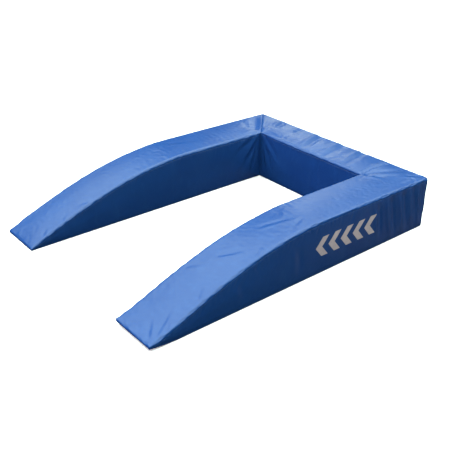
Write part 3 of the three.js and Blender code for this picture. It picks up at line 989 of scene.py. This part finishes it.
# ---------------- materials
class Nodes:
    """Short calls for building the node tree of a material or a world."""

    def __init__(self, owner, coordinate):
        owner.use_nodes = True
        self.tree = owner.node_tree
        self.tree.nodes.clear()
        self.place = self.node("ShaderNodeTexCoord", {}).outputs[coordinate]

    def node(self, kind, inputs, **settings):
        node = self.tree.nodes.new(kind)
        for name, value in settings.items():
            setattr(node, name, value)
        for key, value in inputs.items():
            if isinstance(value, bpy.types.NodeSocket):
                self.tree.links.new(value, node.inputs[key])
            else:
                node.inputs[key].default_value = value
        return node

    def math(self, operation, a, b=0.0):
        return self.node("ShaderNodeMath", {0: a, 1: b}, operation=operation).outputs[0]

    def vector(self, operation, a, b=(0, 0, 0)):
        return self.node("ShaderNodeVectorMath", {0: a, 1: b}, operation=operation).outputs

    def remap(self, value, low, high, to_low=0.0, to_high=1.0, kind="LINEAR"):
        inputs = {0: value, 1: low, 2: high, 3: to_low, 4: to_high}
        return self.node("ShaderNodeMapRange", inputs, interpolation_type=kind).outputs[0]


class Material(Nodes):
    """The nodes of a material round one Principled shader."""

    def __init__(self, name):
        self.material = bpy.data.materials.new(name)
        super().__init__(self.material, "Object")
        self.shader = self.node("ShaderNodeBsdfPrincipled", {})
        self.node("ShaderNodeOutputMaterial", {0: self.shader.outputs[0]})

    def noise(self, size, detail=3.0, roughness=0.5, stretch=(1, 1, 1)):
        """Noise from 0 to 1 with lumps of that size in metres."""
        place = self.vector("MULTIPLY", self.place, stretch)[0]
        inputs = {"Vector": place, "Scale": 1 / size, "Detail": detail, "Roughness": roughness}
        return self.node("ShaderNodeTexNoise", inputs).outputs["Fac"]

    def mix(self, share, first, second):
        """Mixes two colours, each a tuple or a socket."""
        tones = [(*tone, 1.0) if isinstance(tone, tuple) else tone for tone in (first, second)]
        inputs = {0: share, 6: tones[0], 7: tones[1]}
        return self.node("ShaderNodeMix", inputs, data_type="RGBA").outputs[2]

    def mottled(self, size, detail, first, second, reach=(0.3, 0.7, 0, 1), roughness=0.5):
        """Two colours in soft patches of that size. Reach remaps the noise to their shares."""
        share = self.remap(self.noise(size, detail, roughness), *reach)
        return self.mix(share, first, second)

    def weave(self, pitch):
        """Height of a fine square weave of threads, from -1 to 1, on any face along the axes."""
        turns = self.vector("MULTIPLY", self.place, (2 * math.pi / pitch,) * 3)[0]
        waves = self.vector("SINE", turns)[0]
        return self.vector("DOT_PRODUCT", waves, (1 / 3,) * 3)["Value"]

    def bump(self, height, distance, strength=1.0, after=None):
        inputs = {"Height": height, "Distance": distance, "Strength": strength}
        if after is not None:
            inputs["Normal"] = after
        return self.node("ShaderNodeBump", inputs).outputs[0]

    def set(self, **values):
        """Sets or links the shader's sockets. Underscores stand for spaces."""
        for key, value in values.items():
            socket = self.shader.inputs[key.replace("_", " ")]
            if isinstance(value, bpy.types.NodeSocket):
                self.tree.links.new(value, socket)
            else:
                socket.default_value = value


BLUE = (0.0112, 0.056, 0.258)
BLUE_FADED = (0.018, 0.074, 0.295)
BLUE_DEEP = (0.0095, 0.049, 0.238)
PRINT_GREY = (0.64, 0.47, 0.58)
PRINT_PALE = (0.70, 0.53, 0.63)
WORN = (0.5, 0.8, 0, 0.5)  # for patches of dust or wear over up to half the surface


def cover_material(name, printed=False):
    """PVC-coated polyester: a soft sheen over an embossed weave, a little faded and scuffed."""
    n = Material(name)
    base = n.mottled(180 * MM, 2, BLUE_DEEP, BLUE, (0.35, 0.65))
    streaks = n.noise(30 * MM, 5, 0.6, (1, 1, 0.35))
    faded = n.mix(n.remap(streaks, 0.52, 0.8, 0, 0.55), base, BLUE_FADED)
    colour = n.mottled(2.2 * MM, 2, faded, BLUE_FADED, (0.35, 0.7, 0, 0.12))
    roughness = n.remap(n.noise(55 * MM, 5, 0.6), 0.3, 0.7, 0.29, 0.37)
    if printed:
        wear = n.remap(n.noise(9 * MM, 4, 0.6), 0.3, 0.75, 1.0, 0.86)
        ink = n.mottled(30 * MM, 3, PRINT_GREY, PRINT_PALE)
        colour = n.mix(n.math("MULTIPLY", chevron_mask(n), wear), colour, ink)
    creases = n.bump(n.noise(24 * MM, 3, 0.5), 0.9 * MM, 0.3)
    embossed = n.bump(n.weave(1.3 * MM), 0.04 * MM, 0.3, creases)
    n.set(Base_Color=colour, Roughness=roughness, Normal=embossed, Specular_IOR_Level=0.5)
    return n.material


CHEVRONS = 5
CHEVRON_PITCH = 68 * MM
CHEVRON_WIDTH = 34 * MM
CHEVRON_HALF = 41 * MM  # half the height of the row
CHEVRON_START = 32 * MM
CHEVRON_Z = 121 * MM
CHEVRON_RISE = 0.85  # how far an arm runs back for each unit it rises
PRINT_EDGE = 0.5 * MM


def chevron_mask(n):
    """1 inside a row of plain chevrons along the side, pointing at the toes."""
    axes = n.node("ShaderNodeSeparateXYZ", {0: n.place}).outputs
    rise = n.math("ABSOLUTE", n.math("SUBTRACT", axes["Z"], CHEVRON_Z))
    run = n.math("SUBTRACT", axes["Y"], CHEVRON_START)
    run = n.math("SUBTRACT", run, n.math("MULTIPLY", rise, CHEVRON_RISE))
    half = CHEVRON_WIDTH / 2
    within = n.math("PINGPONG", n.math("SUBTRACT", run, half), CHEVRON_PITCH / 2)
    bars = n.remap(within, half - PRINT_EDGE, half + PRINT_EDGE, 1, 0)
    height = n.remap(rise, CHEVRON_HALF - PRINT_EDGE, CHEVRON_HALF + PRINT_EDGE, 1, 0)
    length = (CHEVRONS - 0.25) * CHEVRON_PITCH
    middle = n.math("ABSOLUTE", n.math("SUBTRACT", run, length / 2))
    extent = n.math("LESS_THAN", middle, length / 2 + CHEVRON_WIDTH / 4)
    return n.math("MULTIPLY", n.math("MULTIPLY", bars, height), extent)


def base_material():
    """Non-slip cloth: dark, matt, with rows of small rubber dots."""
    n = Material("base")
    pitch = 7 * MM
    lattice = n.vector("MULTIPLY", n.place, (1 / pitch,) * 3)[0]
    away = n.vector("SUBTRACT", n.vector("FRACTION", lattice)[0], (0.5, 0.5, 0))[0]
    distance = n.vector("LENGTH", n.vector("MULTIPLY", away, (1, 1, 0))[0])["Value"]
    dots = n.remap(distance, 0.2, 0.3, 1, 0)
    cloth = n.mottled(40 * MM, 4, (0.008, 0.014, 0.045), (0.014, 0.024, 0.07))
    dusty = n.mottled(9 * MM, 5, cloth, (0.05, 0.055, 0.07), WORN, 0.65)
    threads = n.bump(n.weave(1.1 * MM), 0.06 * MM, 0.6)
    n.set(Base_Color=n.mix(dots, dusty, (0.006, 0.007, 0.012)))
    n.set(Roughness=n.remap(dots, 0, 1, 0.85, 0.6), Normal=n.bump(dots, 0.5 * MM, 0.8, threads))
    return n.material


def foam_material():
    """Cut polyurethane foam, cream and open-celled."""
    n = Material("foam")
    inputs = {"Vector": n.place, "Scale": 1 / (1.4 * MM)}
    cells = n.node("ShaderNodeTexVoronoi", inputs).outputs["Distance"]
    tone = n.mottled(60 * MM, 4, (0.72, 0.62, 0.38), (0.84, 0.76, 0.54))
    # The pits of the cells are painted darker than the struts: painted shade in the pores.
    colour = n.mix(n.remap(cells, 0.0, 0.5, 0.35, 0.0), tone, (0.45, 0.36, 0.2))
    n.set(Base_Color=colour, Roughness=0.95, Normal=n.bump(cells, 0.6 * MM, 0.8))
    n.set(Subsurface_Weight=0.05)
    return n.material


def tape_material():
    """Woven zip tape, with ribs along it."""
    n = Material("zip tape")
    threads = n.weave(0.7 * MM)
    # The weave's troughs are painted darker and its crests lighter: painted shade in the weave.
    colour = n.mix(n.remap(threads, -0.6, 0.6), (0.008, 0.008, 0.010), (0.028, 0.028, 0.034))
    worn = n.mottled(12 * MM, 4, colour, (0.06, 0.06, 0.065), WORN)
    n.set(Base_Color=worn, Roughness=0.9, Normal=n.bump(threads, 0.12 * MM, 0.8))
    return n.material


def teeth_material():
    """Moulded black plastic."""
    n = Material("zip teeth")
    tone = n.mottled(6 * MM, 3, (0.010, 0.010, 0.012), (0.022, 0.022, 0.026))
    n.set(Base_Color=tone, Roughness=n.remap(n.noise(2 * MM, 3), 0.3, 0.7, 0.32, 0.5))
    n.set(Normal=n.bump(n.noise(0.6 * MM, 2), 0.03 * MM, 0.5))
    return n.material


def metal_material():
    """Nickel-plated zinc with fine scratches and dull spots."""
    n = Material("zip metal")
    scratches = n.noise(0.8 * MM, 4, 0.7, (0.15, 1, 1))
    tone = n.mottled(3 * MM, 4, (0.60, 0.59, 0.57), (0.74, 0.73, 0.71), (0.35, 0.7))
    n.set(Base_Color=tone, Metallic=1.0, Roughness=n.remap(scratches, 0.3, 0.7, 0.18, 0.38))
    n.set(Normal=n.bump(scratches, 0.02 * MM, 0.5))
    return n.material


def thread_material():
    """Bonded polyester thread, twisted."""
    n = Material("thread")
    inputs = {"Vector": n.place, "Scale": 420.0}
    twist = n.node("ShaderNodeTexWave", inputs, bands_direction="DIAGONAL").outputs["Fac"]
    # The twist's grooves are painted darker and its ridges lighter: painted shade along the twist.
    colour = n.mix(twist, (0.012, 0.045, 0.19), (0.03, 0.09, 0.32))
    n.set(Base_Color=colour, Roughness=0.55, Normal=n.bump(twist, 0.1 * MM, 0.6))
    return n.material


def make_materials():
    return {
        "cover": cover_material("cover"),
        "cover_printed": cover_material("cover printed", printed=True),
        "base": base_material(),
        "foam": foam_material(),
        "zip_tape": tape_material(),
        "zip_teeth": teeth_material(),
        "zip_metal": metal_material(),
        "thread": thread_material(),
    }


# ---------------- studio
FLOOR_HALF = 12
FLOOR_DROP = 0.3 * MM  # the floor lies this far below the mat
BACKDROP_RADIUS = 11
BACKDROP_HEIGHT = 9
BACKDROP_SIDES = 96


def stage_object(name, points, faces, patch, tones, glow):
    """A pale surface that the camera sees, and that colours nothing on the mat."""
    n = Material(name)
    shade = n.mottled(patch, 3, *tones)
    n.set(Base_Color=shade, Emission_Color=shade, Emission_Strength=glow)
    n.set(Roughness=0.9, Specular_IOR_Level=0.0)
    obj = new_object(name, points, faces, n.material)
    obj.visible_diffuse = False
    obj.visible_glossy = False
    return obj


def make_floor():
    edge = FLOOR_HALF
    corners = [(-edge, -edge, 0), (edge, -edge, 0), (edge, edge, 0), (-edge, edge, 0)]
    tones = (0.91, 0.84, 0.93), (0.93, 0.86, 0.94)
    floor = stage_object("floor", corners, [(0, 1, 2, 3)], 0.9, tones, 0.3)
    floor.location.z = -FLOOR_DROP


def make_backdrop():
    """A pale wall far round the floor. It takes no part in the light."""
    points, faces = [], []
    for k in range(BACKDROP_SIDES):
        angle = 2 * math.pi * k / BACKDROP_SIDES
        x, y = BACKDROP_RADIUS * math.cos(angle), BACKDROP_RADIUS * math.sin(angle)
        points += [(x, y, -0.2), (x, y, BACKDROP_HEIGHT)]
        a, b = 2 * k, 2 * ((k + 1) % BACKDROP_SIDES)
        faces.append((a, a + 1, b + 1, b))
    tones = (0.90, 0.90, 0.905), (0.92, 0.92, 0.92)
    wall = stage_object("backdrop", points, faces, 1.5, tones, 1.0)
    wall.visible_shadow = False


TENT = 3.4  # brightness of the soft white tent overhead
TENT_COLOUR = (0.82, 1.0, 0.80)
TENT_RISE = (0.46, 0.68)  # sines of the elevations between which it fades in
HORIZON = 0.03  # its brightness low over the ground
SKYLINE = 0.03  # sine of the elevation within which the ground fades out
GROUND = 0.2  # of the tent's brightness, below the horizon
STRIP = 4.2  # an upright softbox far behind the left corner
STRIP_COLOUR = (0.9, 1.0, 0.78)
STRIP_AZIMUTH = 43.8
STRIP_SIDES = (0.02, 0.055)  # sines of the angles to its side between which it fades out
STRIP_FOOT = (0.12, 0.24)
STRIP_HEAD = (0.4, 0.6)
FLAG_AZIMUTH = 54  # a black flag beside the strip hides the tent's foot
FLAG_SIDES = (0.1, 0.15)
FLAG_HEAD = (0.6, 0.76)
CARD = 0.34  # a low warm card behind the right corner
CARD_COLOUR = (1.0, 0.78, 0.7)
CARD_DIRECTION = (0.46, 0.78, -0.42)
CARD_EDGE = (0.975, 0.998)  # cosines of the angles between which it fades in

# Broad lights that leave no highlight: strength, colour, degrees across, and direction.
SUNS = {
    "key": (1.6, (0.6, 1.0, 0.8), 50, (0.05, -0.15, 1)),
    "fill": (1.0, (0.76, 0.56, 0.96), 45, (-0.4, -1, 0.5)),
}


def make_world():
    """A white tent overhead over dark surroundings, with an upright softbox and a low card."""
    world = bpy.data.worlds.new("studio")
    bpy.context.scene.world = world
    n = Nodes(world, "Generated")

    def toward(axis):
        return n.vector("DOT_PRODUCT", n.place, Vector(axis).normalized())["Value"]

    def step(value, between, first, last):
        return n.remap(value, *between, first, last, "SMOOTHSTEP")

    def sector(azimuth, sides):
        """1 in an upright band round that azimuth, given in degrees from +Y towards -X."""
        turn = math.radians(azimuth)
        aside = n.math("ABSOLUTE", toward((math.cos(turn), math.sin(turn), 0)))
        ahead = step(toward((-math.sin(turn), math.cos(turn), 0)), (0.3, 0.6), 0, 1)
        return n.math("MULTIPLY", step(aside, sides, 1, 0), ahead)

    def glow(colour, strength):
        return n.node("ShaderNodeBackground", {0: (*colour, 1), 1: strength}).outputs[0]

    def both(a, b):
        return n.node("ShaderNodeAddShader", {0: a, 1: b}).outputs[0]

    height = toward((0, 0, 1))
    above = step(height, (-SKYLINE, SKYLINE), GROUND, 1)
    tent = n.math("MULTIPLY", step(height, TENT_RISE, HORIZON, TENT), above)
    flag = n.math("MULTIPLY", sector(FLAG_AZIMUTH, FLAG_SIDES), step(height, FLAG_HEAD, 1, 0))
    tent = n.math("MULTIPLY", tent, step(flag, (0, 1), 1, 0))
    strip = n.math("MULTIPLY", sector(STRIP_AZIMUTH, STRIP_SIDES), step(height, STRIP_FOOT, 0, STRIP))
    strip = n.math("MULTIPLY", strip, step(height, STRIP_HEAD, 1, 0))
    card = step(toward(CARD_DIRECTION), CARD_EDGE, 0, CARD)
    lit = both(both(glow(TENT_COLOUR, tent), glow(STRIP_COLOUR, strip)), glow(CARD_COLOUR, card))
    n.node("ShaderNodeOutputWorld", {0: lit})


def make_suns():
    for name, (strength, colour, angle, direction) in SUNS.items():
        data = bpy.data.lights.new(name, "SUN")
        data.energy = strength
        data.color = colour
        data.angle = math.radians(angle)
        sun = bpy.data.objects.new(name, data)
        sun.rotation_mode = "QUATERNION"
        sun.rotation_quaternion = Vector(direction).to_track_quat("Z", "Y")
        sun.visible_glossy = False
        bpy.context.scene.collection.objects.link(sun)


# ---------------- the scene
def back_face_depth(cover):
    """A function of (x, z) that gives how far back the cover's back face lies."""
    tree = bvhtree.BVHTree.FromObject(cover, bpy.context.evaluated_depsgraph_get())

    def depth(x, z):
        hit = tree.ray_cast(Vector((x, BACK + 0.1, z)), Vector((0, -1, 0)))[0]
        return hit.y

    return depth


make_camera()
bpy.context.scene.view_settings.view_transform = "Standard"
materials = make_materials()
cover = build_cover()
cover_depth = back_face_depth(cover)
build_stitching(cover_depth, materials)
split_cover(cover, materials)
build_foam(materials)
build_tapes(materials)
build_teeth(materials)
build_slider(materials)
build_pull(materials)
finish_stops(materials)
make_floor()
make_backdrop()
make_world()
make_suns()
